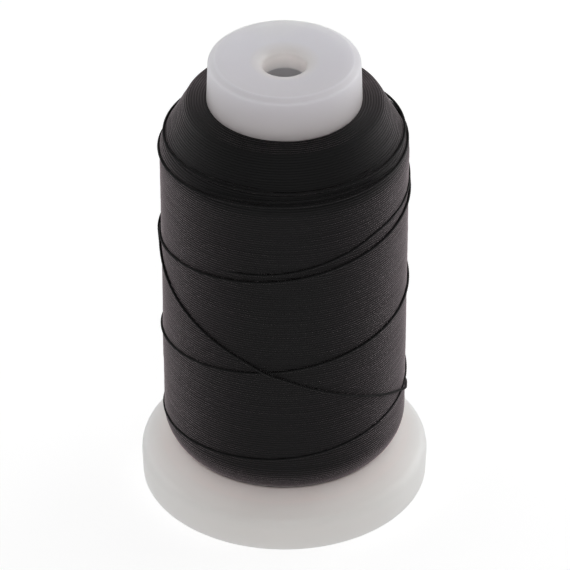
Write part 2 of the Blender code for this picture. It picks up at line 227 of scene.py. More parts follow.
def new_piece(name, mesh, look, sharp_angle=SHARP_ANGLE):
    """An object in the scene, smooth shaded, with its sharp edges kept unless sharp_angle is None."""
    mesh.name = name
    mesh.materials.clear()
    mesh.materials.append(look)
    mesh.shade_smooth()
    if sharp_angle:
        mesh.set_sharp_from_angle(angle=sharp_angle)
    piece = bpy.data.objects.new(name, mesh)
    bpy.context.scene.collection.objects.link(piece)
    return piece


def turned_mesh(points, steps=TURNED_STEPS):
    """A closed outline turned about Z into a closed mesh."""
    count = len(points)
    rings = []
    for i in range(steps):
        angle = TURN * i / steps
        rings += [about_axis(r, angle, z) for r, z in points]
    faces = []
    for i in range(steps):
        here, there = i * count, (i + 1) % steps * count
        for j in range(count):
            after = (j + 1) % count
            faces.append((here + j, here + after, there + after, there + j))
    mesh = bpy.data.meshes.new("turned")
    mesh.from_pydata(rings, [], faces)
    outward(mesh)
    return mesh


def turn_outward(shape):
    """Turns every face of a closed bmesh outward."""
    bmesh.ops.recalc_face_normals(shape, faces=shape.faces)
    if shape.calc_volume(signed=True) < 0:
        bmesh.ops.reverse_faces(shape, faces=shape.faces)


def outward(mesh):
    """Turns every face of a closed mesh outward."""
    shape = bmesh.new()
    shape.from_mesh(mesh)
    turn_outward(shape)
    shape.to_mesh(mesh)
    shape.free()


def prism_ring(points, thickness, angles):
    """An outline in the plane of the axis, given thickness and repeated about Z at each angle."""
    shape = bmesh.new()
    for angle in angles:
        turn = Matrix.Rotation(angle, 4, "Z")
        sides = []
        for y in (-thickness / 2, thickness / 2):
            sides.append([shape.verts.new(turn @ Vector((r, y, z))) for r, z in points])
        near, far = sides
        shape.faces.new(near)
        shape.faces.new(reversed(far))
        for i in range(len(points)):
            j = (i + 1) % len(points)
            shape.faces.new((near[j], near[i], far[i], far[j]))
    mesh = bpy.data.meshes.new("prism_ring")
    shape.to_mesh(mesh)
    shape.free()
    outward(mesh)
    return mesh


def evenly(count, first=0.0):
    """Angles spaced evenly over a full turn."""
    return [first + TURN * i / count for i in range(count)]


def combined(mesh, steps):
    """The mesh after each (other mesh, Boolean operation) has been applied to it."""
    body = bpy.data.objects.new("body", mesh)
    bpy.context.scene.collection.objects.link(body)
    others = []
    for other_mesh, operation in steps:
        other = bpy.data.objects.new("other", other_mesh)
        bpy.context.scene.collection.objects.link(other)
        others.append(other)
        modifier = body.modifiers.new("boolean", "BOOLEAN")
        modifier.operation = operation
        modifier.object = other
        modifier.solver = "EXACT"
    bpy.context.view_layer.update()
    graph = bpy.context.evaluated_depsgraph_get()
    result = bpy.data.meshes.new_from_object(body.evaluated_get(graph))
    for obj in (body, *others):
        bpy.data.objects.remove(obj)
    return result


# ---------------------------------------------------------------- materials


class Look:
    """A Principled material and short ways to add nodes to it."""

    def __init__(self, name, **values):
        self.material = bpy.data.materials.new(name)
        self.material.use_nodes = True
        self.tree = self.material.node_tree
        self.shader = self.tree.nodes["Principled BSDF"]
        for socket, value in values.items():
            self.shader.inputs[socket.replace("_", " ")].default_value = value
        self.place = self.add("ShaderNodeTexCoord").outputs["Object"]
        self.width, self.depth, self.height = self.split(self.place)

    def add(self, kind, **values):
        node = self.tree.nodes.new(kind)
        for name, value in values.items():
            setattr(node, name, value)
        return node

    def join(self, source, node, socket):
        self.tree.links.new(source, node.inputs[socket])

    def split(self, vector):
        node = self.add("ShaderNodeSeparateXYZ")
        self.join(vector, node, "Vector")
        return [node.outputs[axis] for axis in "XYZ"]

    def vector(self, **parts):
        """A vector from sockets given as X, Y and Z; a part left out is 0."""
        node = self.add("ShaderNodeCombineXYZ")
        for axis, source in parts.items():
            self.join(source, node, axis)
        return node.outputs["Vector"]

    def vector_maths(self, operation, *vectors):
        node = self.add("ShaderNodeVectorMath", operation=operation)
        for i, source in enumerate(vectors):
            self.join(source, node, i)
        return node.outputs["Vector"]

    def noise(self, scale, detail=3.0, roughness=0.5, stretch=None, vector=None):
        """Noise over the object, or over a vector that is given."""
        node = self.add("ShaderNodeTexNoise")
        node.inputs["Scale"].default_value = scale
        node.inputs["Detail"].default_value = detail
        node.inputs["Roughness"].default_value = roughness
        vector = self.place if vector is None else vector
        if stretch:
            mapping = self.add("ShaderNodeMapping")
            mapping.inputs["Scale"].default_value = stretch
            self.join(vector, mapping, "Vector")
            vector = mapping.outputs["Vector"]
        self.join(vector, node, "Vector")
        return node.outputs["Fac"]

    def spread(self, source, low, high, from_low=0.3, from_high=0.7):
        """From low to high as the source goes from from_low to from_high."""
        node = self.add("ShaderNodeMapRange", clamp=True)
        for socket, value in (
            ("From Min", from_low),
            ("From Max", from_high),
            ("To Min", low),
            ("To Max", high),
        ):
            node.inputs[socket].default_value = value
        self.join(source, node, "Value")
        return node.outputs["Result"]

    def maths(self, operation, first, second=None):
        """Sums on sockets or plain numbers."""
        node = self.add("ShaderNodeMath", operation=operation)
        for i, value in enumerate((first, second)):
            if value is None:
                continue
            if isinstance(value, (int, float)):
                node.inputs[i].default_value = value
            else:
                self.join(value, node, i)
        return node.outputs["Value"]

    def blend(self, factor, first, second):
        """The first colour where the factor is 0 and the second where it is 1."""
        node = self.add("ShaderNodeMix", data_type="RGBA")
        # A and B come once for each data type. 6, 7 and output 2 are the colour ones.
        for socket, colour in ((6, first), (7, second)):
            if isinstance(colour, tuple):
                node.inputs[socket].default_value = (*colour, 1.0)
            else:
                self.join(colour, node, socket)
        self.join(factor, node, 0)
        return node.outputs[2]

    def bump(self, height, strength, distance, under=None):
        """The normal over a relief, laid on the relief under it if there is one."""
        node = self.add("ShaderNodeBump")
        node.inputs["Strength"].default_value = strength
        node.inputs["Distance"].default_value = distance
        self.join(height, node, "Height")
        if under is not None:
            self.join(under, node, "Normal")
        return node.outputs["Normal"]


def milky_plastic(name, clear, cloudy):
    """Satin translucent moulding: light spreads inside it, and its skin is very slightly uneven."""
    look = Look(name, IOR=1.5, Subsurface_Weight=1.0, Subsurface_Scale=3.2 * MM)
    look.shader.inputs["Subsurface Radius"].default_value = (1.0, 0.96, 0.98)
    look.shader.subsurface_method = "RANDOM_WALK"
    clouds = look.spread(look.noise(180.0, detail=2.0), 0.0, 1.0)
    look.colour = look.blend(clouds, clear, cloudy)
    look.join(look.colour, look.shader, "Base Color")
    smears = look.noise(420.0, detail=4.0, roughness=0.6, stretch=(1.0, 1.0, 0.45))
    look.join(look.spread(smears, 0.34, 0.5), look.shader, "Roughness")
    skin = look.bump(look.noise(2600.0, detail=2.0), 0.10, 0.05 * MM)
    waves = look.bump(look.noise(170.0, detail=1.0), 0.12, 0.25 * MM, under=skin)
    look.join(waves, look.shader, "Normal")
    squares = [look.maths("MULTIPLY", part, part) for part in (look.width, look.depth)]
    look.radius = look.maths("SQRT", look.maths("ADD", *squares))
    return look


def foot_plastic():
    """Warm white, paler towards the rim, with painted shade on the rim's front. A painted glow on the slope
    stands in for light that has come through the deck, and makes up for the thread's shade there.
    """
    look = milky_plastic("foot_plastic", FOOT_CLEAR, FOOT_CLOUDY)
    # Painted glow: emission on the slope by the thread stands in for light that has come through the deck.
    glows = (FOOT_GLOW_BY_THREAD, FOOT_GLOW_OUTSIDE)
    near = look.spread(look.radius, *glows, SEAM_RADIUS + 0.5 * MM, SEAM_RADIUS + 2.6 * MM)
    above = look.spread(look.height, 0.0, 1.0, RIM_HEIGHT - 0.2 * MM, RIM_HEIGHT + 0.6 * MM)
    on_slope = look.spread(look.radius, 0.0, 1.0, SEAM_RADIUS, SEAM_RADIUS + 0.4 * MM)
    look.shader.inputs["Emission Color"].default_value = (*FOOT_GLOW, 1.0)
    glow = look.maths("MULTIPLY", look.maths("MULTIPLY", near, above), on_slope)
    look.join(glow, look.shader, "Emission Strength")
    outer = look.spread(look.radius, 0.0, 1.0, SEAM_RADIUS + 2.0 * MM, FOOT_RADIUS - 0.6 * MM)
    # Painted shade: the outer part of the foot is darker at its front (-Y), fading out towards the back.
    side = look.spread(look.depth, 1.0, 0.15, -FOOT_RADIUS, 0.0)
    front_shade = look.maths("MULTIPLY", outer, side)
    colour = look.blend(outer, look.colour, FOOT_OUTER)
    look.join(look.blend(front_shade, colour, FOOT_FRONT_SHADE), look.shader, "Base Color")
    return look.material


def barrel_plastic():
    """Cool white, with painted shade at its front, low on the collar's outside and in the mouth of its hole,
    and painted highlights along the bevel's edges. A painted glow stands in for light that has come through
    the collar, and fills its hole.
    """
    look = milky_plastic("barrel_plastic", BARREL_CLEAR, BARREL_CLOUDY)
    # Painted shade: the barrel darkens from the back to the front (-Y).
    front_shade = look.spread(look.depth, 1.0, 0.0, -COLLAR_RADIUS, COLLAR_RADIUS)
    colour = look.blend(front_shade, look.colour, BARREL_FRONT_SHADE)
    # Painted shade: the collar's outside darkens downwards towards the thread.
    outer = look.spread(look.radius, 0.0, 1.0, COLLAR_RADIUS - 0.5 * MM, COLLAR_RADIUS)
    low = look.spread(look.height, 1.0, 0.0, THREAD_TOP - 0.5 * MM, HEIGHT - 1.0 * MM)
    colour = look.blend(look.maths("MULTIPLY", outer, low), colour, BARREL_LOW_SHADE)
    # Painted highlights: thin pale rings along the bevel's two edges, on the top only.
    top = look.spread(look.height, 0.0, 1.0, HEIGHT - 1.0 * MM, HEIGHT - 0.5 * MM)
    for edge_radius in (COLLAR_RADIUS - BEVEL_WIDTH, COLLAR_RADIUS - 0.1 * MM):
        off = look.maths("ABSOLUTE", look.maths("SUBTRACT", look.radius, edge_radius))
        edge = look.spread(off, 0.24, 0.0, 0.05 * MM, 0.26 * MM)
        colour = look.blend(look.maths("MULTIPLY", edge, top), colour, BARREL_CLEAR)
    # Painted shade: the mouth of the hole darkens towards the hole.
    mouth = look.spread(look.radius, 1.0, 0.0, HOLE_RADIUS, MOUTH_RADIUS + 0.2 * MM)
    colour = look.blend(mouth, colour, BARREL_MOUTH_SHADE)
    look.join(colour, look.shader, "Base Color")
    # Painted glow: emission in the hole stands in for light that has come through the collar.
    inside = look.spread(look.radius, 1.0, 0.0, LAND_INNER_RADIUS, LAND_INNER_RADIUS + 1.2 * MM)
    below = look.spread(look.height, 1.0, 0.0, HEIGHT - 1.7 * MM, HEIGHT - 0.8 * MM)
    lit = look.spread(look.height, 0.0, 1.0, HEIGHT - 12.0 * MM, HEIGHT - 4.0 * MM)
    glows = (BARREL_GLOW_DEEP, BARREL_GLOW_SHALLOW)
    strength = look.spread(look.height, *glows, HEIGHT - 5.0 * MM, HEIGHT - 3.0 * MM)
    look.shader.inputs["Emission Color"].default_value = (*BARREL_GLOW, 1.0)
    in_hole = look.maths("MULTIPLY", inside, below)
    glow = look.maths("MULTIPLY", in_hole, look.maths("MULTIPLY", lit, strength))
    look.join(glow, look.shader, "Emission Strength")
    return look.material


def thread_outlook(look):
    """The outward direction of the winding as a whole, without the ridges of its turns."""
    out = look.vector_maths("NORMALIZE", look.vector(X=look.width, Y=look.depth))
    up = look.spread(look.height, 0.0, 0.55, SHOULDER_EDGE - 2.0 * MM, SHOULDER_EDGE + 1.0 * MM)
    down = look.spread(look.height, -0.8, 0.0, WINDING_BOTTOM, LOWER_ROUNDING_CENTRE)
    lean = look.vector(Z=look.maths("ADD", up, down))
    return look.vector_maths("NORMALIZE", look.vector_maths("ADD", out, lean))


def painted_thread_sheen(look, wound):
    """How much of the thread's painted sheen, a pale colour at a glancing angle, shows: most at a glancing
    angle, less above the shoulder's edge, and none on the open wraps.
    """
    facing = look.add("ShaderNodeLayerWeight")
    look.join(thread_outlook(look), facing, "Normal")
    painted_sheen = look.maths("MULTIPLY", look.maths("POWER", facing.outputs["Facing"], 3.0), wound)
    less_on_shoulder = look.spread(look.height, 1.0, 0.3, SHOULDER_EDGE - 1.0 * MM, SHOULDER_EDGE + 2.0 * MM)
    return look.maths("MULTIPLY", painted_sheen, less_on_shoulder)


def black_thread():
    """Twisted thread. UV x counts the twists along the thread and UV y counts the turns across it."""
    look = Look("black_thread", IOR=1.5, Sheen_Weight=1.0, Sheen_Roughness=0.27)
    look.shader.inputs["Sheen Tint"].default_value = (*THREAD_SHEEN, 1.0)
    look.shader.inputs["Specular IOR Level"].default_value = 0.12
    along, across, _ = look.split(look.add("ShaderNodeUVMap", uv_map="strand").outputs["UV"])
    slant = look.maths("ADD", along, look.maths("MULTIPLY", across, 0.5))
    plies = look.maths("ABSOLUTE", look.maths("SINE", look.maths("MULTIPLY", slant, math.pi * PLIES)))
    fibre_place = look.vector(X=look.maths("MULTIPLY", slant, 0.8), Y=look.maths("MULTIPLY", across, 9.0))
    fibres = look.noise(3.0, vector=fibre_place)
    relief = look.bump(plies, 0.07, 0.06 * MM)
    relief = look.bump(fibres, 0.08, 0.02 * MM, under=relief)
    look.join(relief, look.shader, "Normal")
    wrap = look.add("ShaderNodeAttribute", attribute_name="open_wrap").outputs["Fac"]
    wound = look.maths("SUBTRACT", 1.0, wrap)
    bands = look.noise(60.0, detail=4.0, roughness=0.62, stretch=(1.0, 1.0, 22.0))
    tone = look.maths("MULTIPLY", look.spread(bands, 0.0, 1.0), look.spread(fibres, 0.35, 1.0))
    colour = look.blend(tone, THREAD_DARK, THREAD_LIGHT)
    # The base colour pales towards the painted sheen at a glancing angle.
    look.join(look.blend(painted_thread_sheen(look, wound), colour, THREAD_PAINTED_SHEEN), look.shader, "Base Color")
    look.join(look.spread(bands, 0.46, 0.66), look.shader, "Roughness")
    sheen = look.maths("MULTIPLY", look.spread(bands, 0.72, 1.0), look.spread(wound, 0.3, 1.0, 0.0, 1.0))
    look.join(sheen, look.shader, "Sheen Weight")
    return look.material


# ---------------------------------------------------------------- foot


def foot_outline():
    """The foot in section: the rim and slope outside, the deck, the sleeve, and the hollow beneath."""
    inner_rim = FOOT_RADIUS - RIM_WALL
    return outline(
        [
            (SEAM_RADIUS, SEAM_HEIGHT, 0.15 * MM),
            (FOOT_RADIUS + FOOT_FLARE, RIM_HEIGHT, RIM_ROUNDING),
            (FOOT_RADIUS, 0.0, EDGE_ROUNDING),
            (inner_rim, 0.0),
            (inner_rim + 0.2 * MM, 3.3 * MM, 0.8 * MM),
            (SEAM_RADIUS - 0.2 * MM, 4.9 * MM),
            (SEAM_RADIUS - 1.0 * MM, DECK_UNDERSIDE),
            (SLEEVE_RADIUS + 0.1 * MM, DECK_UNDERSIDE, 0.4 * MM),
            (SLEEVE_RADIUS, SLEEVE_BOTTOM, EDGE_ROUNDING),
            (SLEEVE_BORE, SLEEVE_BOTTOM, EDGE_ROUNDING),
            (SLEEVE_BORE, SLEEVE_TOP),
            (SLEEVE_RADIUS - SLEEVE_LEAD, SLEEVE_TOP),
            (SLEEVE_RADIUS, SLEEVE_TOP - 1.2 * SLEEVE_LEAD),
            (SLEEVE_RADIUS, DECK_TOP, 0.4 * MM),
            (SEAM_RADIUS, DECK_TOP),
        ]
    )


def make_foot(look):
    """The foot with the slots beside its fingers, their hooks, and the ribs under its deck."""
    slots = prism_ring(
        [
            (SLEEVE_BORE - CUTTER_OVERRUN, SLOT_BOTTOM),
            (SLEEVE_RADIUS + CUTTER_OVERRUN, SLOT_BOTTOM),
            (SLEEVE_RADIUS + CUTTER_OVERRUN, SLEEVE_TOP + CUTTER_OVERRUN),
            (SLEEVE_BORE - CUTTER_OVERRUN, SLEEVE_TOP + CUTTER_OVERRUN),
        ],
        SLOT_WIDTH,
        evenly(FINGER_COUNT, -FINGER_HALF_ANGLE) + evenly(FINGER_COUNT, FINGER_HALF_ANGLE),
    )
    root, tip = SLEEVE_RADIUS - HOOK_ROOT, SLEEVE_RADIUS + HOOK_REACH
    hooks = prism_ring(
        [
            (root, HOOK_UNDERSIDE),
            (tip, HOOK_UNDERSIDE + 0.1 * MM),
            (tip, HOOK_UNDERSIDE + 0.5 * MM),
            (root, SLEEVE_TOP - 0.3 * MM),
        ],
        HOOK_WIDTH,
        evenly(FINGER_COUNT),
    )
    inner, outer = SLEEVE_RADIUS - RIB_SET_IN, FOOT_RADIUS - RIM_WALL / 2
    bottom, top = SLEEVE_BOTTOM + EDGE_ROUNDING, DECK_UNDERSIDE + RIB_SET_IN
    ribs = prism_ring(
        [
            (inner, bottom),
            (outer, bottom),
            (outer, DECK_UNDERSIDE),
            (SEAM_RADIUS + 0.2 * MM, top + 1.1 * MM),
            (SEAM_RADIUS - 1.2 * MM, top),
            (inner, top),
        ],
        RIB_THICKNESS,
        evenly(RIB_COUNT, RIB_FIRST_ANGLE),
    )
    mesh = combined(
        turned_mesh(foot_outline()),
        [(slots, "DIFFERENCE"), (hooks, "UNION"), (ribs, "UNION")],
    )
    foot = new_piece("foot_moulding", mesh, look)
    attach(foot, "foot")
    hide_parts("snap_base")


# ---------------------------------------------------------------- barrel


def barrel_radius(height):
    """The tube's outside, which tapers a little towards the collar."""
    share = (height - FLANGE_TOP) / (THREAD_TOP - FLANGE_TOP)
    return BARREL_RADIUS_AT_FLANGE + share * (BARREL_RADIUS_AT_THREAD - BARREL_RADIUS_AT_FLANGE)


def barrel_outline():
    """The barrel in section: the collar, tube and flange outside, the hollow, the web and its hole."""
    web_underside = HEIGHT - WEB_THICKNESS
    mouth_top = HEIGHT - DISH_DEPTH
    mouth = []
    for i in range(1, MOUTH_STEPS + 1):
        angle = math.radians(90 * i / MOUTH_STEPS)
        mouth.append(
            (
                HOLE_RADIUS + (MOUTH_RADIUS - HOLE_RADIUS) * (1 - math.cos(angle)),
                mouth_top - MOUTH_DEPTH * (1 - math.sin(angle)),
            )
        )
    return outline(
        [
            (COLLAR_RADIUS - BEVEL_WIDTH, HEIGHT, 0.15 * MM),
            (COLLAR_RADIUS, HEIGHT - BEVEL_DROP, 0.4 * MM),
            (BARREL_RADIUS_AT_THREAD, THREAD_TOP),
            (BARREL_RADIUS_AT_FLANGE, FLANGE_TOP, 0.3 * MM),
            (FLANGE_RADIUS - FLANGE_CHAMFER, FLANGE_TOP),
            (FLANGE_RADIUS, FLANGE_TOP - FLANGE_CHAMFER),
            (FLANGE_RADIUS, DECK_TOP + GAP, 0.2 * MM),
            (SLEEVE_RADIUS + 0.75 * MM, DECK_TOP + GAP),
            (BARREL_RADIUS_AT_FLANGE - BARREL_WALL, DECK_TOP + 1.2 * MM),
            (BARREL_RADIUS_AT_THREAD - BARREL_WALL, web_underside, 0.6 * MM),
            (HOLE_RADIUS, web_underside),
            (HOLE_RADIUS, mouth_top - MOUTH_DEPTH),
            *mouth,
            (LAND_INNER_RADIUS, HEIGHT, 0.8 * MM),
        ]
    )


def make_barrel(look):
    """The barrel with the pockets that the foot's hooks ride in."""
    top = SLEEVE_TOP + GAP
    bottom = HOOK_UNDERSIDE - LIFT - GAP
    pockets = prism_ring(
        [
            (SLEEVE_RADIUS - GAP, bottom),
            (SLEEVE_RADIUS + HOOK_REACH + POCKET_CLEARANCE, bottom),
            (SLEEVE_RADIUS + HOOK_REACH + POCKET_CLEARANCE, top),
            (SLEEVE_RADIUS - GAP, top),
        ],
        HOOK_WIDTH + 2 * POCKET_CLEARANCE,
        evenly(FINGER_COUNT),
    )
    mesh = combined(turned_mesh(barrel_outline()), [(pockets, "DIFFERENCE")])
    barrel = new_piece("barrel_moulding", mesh, look)
    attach(barrel, "barrel")
    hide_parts("spool_barrel")


# ---------------------------------------------------------------- wound thread


def winding_side():
    """The winding's outside from the barrel at the top to its lower edge, as (radius, height) points."""
    upper = outline(
        [
            (BARREL_RADIUS_AT_THREAD - 0.1 * MM, THREAD_TOP),
            (SHOULDER_TOP_RADIUS, SHOULDER_TOP, SHOULDER_TOP_ROUNDING),
            (WINDING_RADIUS_HIGH, SHOULDER_EDGE, SHOULDER_EDGE_ROUNDING),
            (WINDING_RADIUS_LOW, LOWER_ROUNDING_CENTRE),
        ],
        steps=SIDE_STEPS,
    )
    last = math.asin((LOWER_ROUNDING_CENTRE - WINDING_BOTTOM) / LOWER_ROUNDING)
    centre = WINDING_RADIUS_LOW - LOWER_ROUNDING
    lower = [
        (
            centre + LOWER_ROUNDING * math.cos(last * i / SIDE_STEPS),
            LOWER_ROUNDING_CENTRE - LOWER_ROUNDING * math.sin(last * i / SIDE_STEPS),
        )
        for i in range(1, SIDE_STEPS + 1)
    ]
    return np.array(upper + lower)


SIDE = winding_side()
SIDE_LENGTH = np.concatenate([[0.0], np.cumsum(np.hypot(*np.diff(SIDE, axis=0).T))])


def on_side(length):
    """(radius, height) at a length along the winding's side, and the outward normal there."""
    radius = np.interp(length, SIDE_LENGTH, SIDE[:, 0])
    height = np.interp(length, SIDE_LENGTH, SIDE[:, 1])
    before = np.clip(length - NORMAL_REACH, 0, SIDE_LENGTH[-1])
    after = np.clip(length + NORMAL_REACH, 0, SIDE_LENGTH[-1])
    dr = np.interp(after, SIDE_LENGTH, SIDE[:, 0]) - np.interp(before, SIDE_LENGTH, SIDE[:, 0])
    dz = np.interp(after, SIDE_LENGTH, SIDE[:, 1]) - np.interp(before, SIDE_LENGTH, SIDE[:, 1])
    size = np.hypot(dr, dz)
    return radius, height, -dz / size, dr / size


def smooth_random(places):
    """A smooth random curve from -1 to 1 that changes over about one unit."""
    lattice = rng.uniform(-1, 1, int(np.max(places)) + 3)
    whole = np.floor(places).astype(int)
    part = places - whole
    part = part * part * (3 - 2 * part)
    return lattice[whole] * (1 - part) + lattice[whole + 1] * part


def uneven(angle, length, waves, size):
    """Broad random swellings over the winding, the same at angle 0 and a full turn."""
    total = np.zeros_like(length)
    for _ in range(waves):
        around = rng.integers(1, 5)
        along = TURN / rng.uniform(9 * MM, 40 * MM)
        phase = rng.uniform(0, TURN)
        total += np.sin(around * angle + along * length + phase)
    return size * total / math.sqrt(waves)


def lay_of_thread():
    """One thread laid in a helix from the collar to the lower edge, with each turn a rounded ridge.

    It gives the points, the quads and the UVs of the quads' corners. A row of points goes once round. For
    each point, turn counts the turns along the thread, phase is the place across its ridge from 0 to 1, and
    strand is their sum, which grows by 1 for each pitch down the side.
    """
    end = SIDE_LENGTH[-1]
    rows = (int(end / LAY_PITCH) + 2) * LAY_ROWS
    row = np.arange(rows + 1)[:, None]
    column = np.arange(LAY_COLUMNS)[None, :]
    strand = row / LAY_ROWS + (1 - column / LAY_COLUMNS)
    turn = np.floor(row / LAY_ROWS) + (1 - column / LAY_COLUMNS)
    phase = strand - turn

    # The factors of turn are how many times the thread strays in one turn.
    shift = smooth_random(turn * 7) + 0.7 * smooth_random(turn * 19)
    shift_before = np.roll(shift, LAY_ROWS, axis=0)
    length = (strand - 1) * LAY_PITCH + LAY_WANDER * ((1 - phase) * shift_before + phase * shift)
    ended = (length <= 0) | (length >= end)
    length = np.clip(length, 0.0, end)
    proud = LAY_PROUD * smooth_random(turn * 5) + LAY_PROUD_FINE * smooth_random(turn * 23)
    across = (phase - 0.5) * LAY_PITCH
    half = THREAD_DIAMETER / 2
    ridge = np.sqrt(half**2 - across**2) - half + proud * np.sin(math.pi * phase)
    ridge = np.where(ended, 0.0, ridge)
    angle = math.pi + TURN * column / LAY_COLUMNS
    swelling = uneven(angle, length, SWELLING_WAVES, SWELLING)
    faded = np.clip(np.minimum(length, end - length) / SWELLING_FADE, 0, 1)
    offset = ridge + swelling * faded

    radius, height, normal_r, normal_z = on_side(length)
    radius = radius + offset * normal_r
    height = height + offset * normal_z
    points = np.stack([radius * np.sin(angle), -radius * np.cos(angle), height], axis=-1)

    # The quads from the last column to the first join a row to the one a whole turn before it.
    i = np.arange(rows)[:, None]
    j = np.arange(LAY_COLUMNS)[None, :]
    next_row = np.where(j == LAY_COLUMNS - 1, i - LAY_ROWS, i)
    here = i * LAY_COLUMNS + j
    beside = next_row * LAY_COLUMNS + (j + 1) % LAY_COLUMNS
    quads = np.stack([here, here + LAY_COLUMNS, beside + LAY_COLUMNS, beside], axis=-1)

    twist = TWISTS_PER_TURN / LAY_COLUMNS
    u, v = np.broadcast_arrays(j * twist, i / LAY_ROWS)
    next_u, next_v = u + twist, v + 1 / LAY_ROWS
    corner_uvs = [np.stack(pair, -1) for pair in ((u, v), (u, next_v), (next_u, next_v), (next_u, v))]
    joined = next_row >= 0
    return points.reshape(-1, 3), quads[joined], np.stack(corner_uvs, axis=-2)[joined]


def make_winding(look):
    """The lay of the thread, closed against the barrel's tube into one solid."""
    points, quads, corner_uvs = lay_of_thread()
    mesh = bpy.data.meshes.new("thread_package")
    mesh.from_pydata(points.tolist(), [], quads.tolist())
    layer = mesh.uv_layers.new(name="strand")
    layer.data.foreach_set("uv", corner_uvs.reshape(-1).astype(np.float32))
    shape = bmesh.new()
    shape.from_mesh(mesh)
    bmesh.ops.remove_doubles(shape, verts=shape.verts, dist=0.001 * MM)
    boundary = [edge for edge in shape.edges if edge.is_boundary]
    top = [edge for edge in boundary if max(v.co.z for v in edge.verts) > HEIGHT / 2]
    bottom = [edge for edge in boundary if max(v.co.z for v in edge.verts) < HEIGHT / 2]
    inner = []
    for height in (THREAD_TOP - 1.0 * MM, WINDING_BOTTOM + 0.02 * MM):
        radius = barrel_radius(height) - 0.05 * MM
        ring = [shape.verts.new(about_axis(radius, angle, height)) for angle in evenly(LAY_COLUMNS)]
        inner.append([shape.edges.new(ends) for ends in zip(ring, ring[1:] + ring[:1])])
    bmesh.ops.bridge_loops(shape, edges=top + inner[0])
    bmesh.ops.bridge_loops(shape, edges=inner[0] + inner[1])
    bmesh.ops.bridge_loops(shape, edges=inner[1] + bottom)
    turn_outward(shape)
    shape.to_mesh(mesh)
    shape.free()
    package = new_piece("thread_package", mesh, look, sharp_angle=None)
    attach(package, "barrel")
    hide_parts("thread_winding")


# ---------------------------------------------------------------- open wraps

# The last wraps as (degrees of turn, height in mm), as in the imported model. Turn 0, 360 and so on face -Y.
WRAP_STATIONS = [
    (-150, 9.4),
    (-70, 11.6),
    (0, 13.1),
    (71, 15.9),
    (290, 25.0),
    (360, 27.7),
    (438, 31.4),
    (650, 40.0),
    (720, 42.5),
    (796, 46.0),
    (1006, 53.2),
    (1090, 54.2),
    (1300, 54.4),
    (1420, 55.7),
    (1500, 55.5),
    (1575, 54.3),
    (1620, 50.0),
    (1727, 35.7),
    (1800, 26.3),
    (1881, 15.4),
    (1935, 8.3),
]

# Their end, which goes down into the groove, as (degrees of turn, radius in mm, height in mm)
TAIL_STATIONS = [
    (1940, 15.5, 7.7),
    (1947, 14.98, 7.24),
    (1953, 14.36, 7.25),
    (1961, 14.02, 6.95),
    (1969, 14.0, 6.5),
    (1982, 14.0, 6.3),
    (2015, 14.0, 6.3),
]

# Earlier wraps, half sunk among the turns: (degrees of turn, height in mm), and how far each stands off
SUNK_WRAPS = [
    ([(-30, 42.6), (0, 43.6), (28, 45.3), (49, 46.9), (72, 47.6), (120, 49.6), (165, 51.0)], 0.06 * MM),
    ([(-60, 55.4), (-20, 56.0), (0, 55.6), (28, 55.7), (55, 56.2)], 0.05 * MM),
    ([(-48, 54.3), (-10, 54.7), (30, 54.9), (70, 54.2)], 0.03 * MM),
    ([(140, 18.6), (200, 21.6), (260, 24.6)], 0.05 * MM),
    ([(120, 35.2), (180, 36.8), (250, 40.2)], 0.04 * MM),
]


def smooth_height(stations, turn):
    """Height at a turn, by a cubic curve that doesn't overshoot its stations."""
    index = 0
    while index < len(stations) - 2 and turn > stations[index + 1][0]:
        index += 1

    def slope(i):
        if i == 0 or i == len(stations) - 1:
            near = min(max(i, 1), len(stations) - 1)
            rise = stations[near][1] - stations[near - 1][1]
            return rise / (stations[near][0] - stations[near - 1][0])
        left = (stations[i][1] - stations[i - 1][1]) / (stations[i][0] - stations[i - 1][0])
        right = (stations[i + 1][1] - stations[i][1]) / (stations[i + 1][0] - stations[i][0])
        return 0.0 if left * right <= 0 else 2 * left * right / (left + right)

    (t0, h0), (t1, h1) = stations[index], stations[index + 1]
    width = t1 - t0
    u = (turn - t0) / width
    height = (
        (1 + 2 * u) * (1 - u) ** 2 * h0
        + u * (1 - u) ** 2 * width * slope(index)
        + u * u * (3 - 2 * u) * h1
        + u * u * (u - 1) * width * slope(index + 1)
    )
    return height * MM


def side_at(height):
    """(radius, normal's radius part, normal's height part) of the winding's side at a height."""
    length = float(np.interp(-height, -SIDE[:, 1], SIDE_LENGTH))
    radius, _, normal_r, normal_z = on_side(length)
    return float(radius), float(normal_r), float(normal_z)


def wrap_point(turn, height, clearance):
    """The place at a turn and height, standing off the winding's side by a clearance."""
    radius, normal_r, normal_z = side_at(height)
    radius += clearance * normal_r
    return about_axis(radius, math.radians(turn), height + clearance * normal_z)


def crossing_rise(turn):
    """How far the thread rises at a turn to pass over the turns that it crosses."""
    rise = 0.0
    earlier = turn - 360
    while turn > CROSSINGS_FROM and earlier > WRAP_STATIONS[0][0]:
        here, there = smooth_height(WRAP_STATIONS, turn), smooth_height(WRAP_STATIONS, earlier)
        apart = abs(here - there) / CROSSING_REACH
        if apart < 1:
            rise = max(rise, CROSSING_RISE * math.cos(apart * math.pi / 2) ** 2)
        earlier -= 360
    return rise


def wrap_seat(turn):
    """How far the last wraps stand off the winding at a turn, where they cross nothing."""
    emerging = min(1.0, (turn - WRAP_STATIONS[0][0]) / EMERGING_TURN)
    risen = min(1.0, max(0.0, (turn - SETTLED_FROM) / SETTLED_OVER))
    return WRAP_SEAT - EMERGING_DEPTH * (1 - emerging) - SETTLED_DEPTH * (1 - risen)


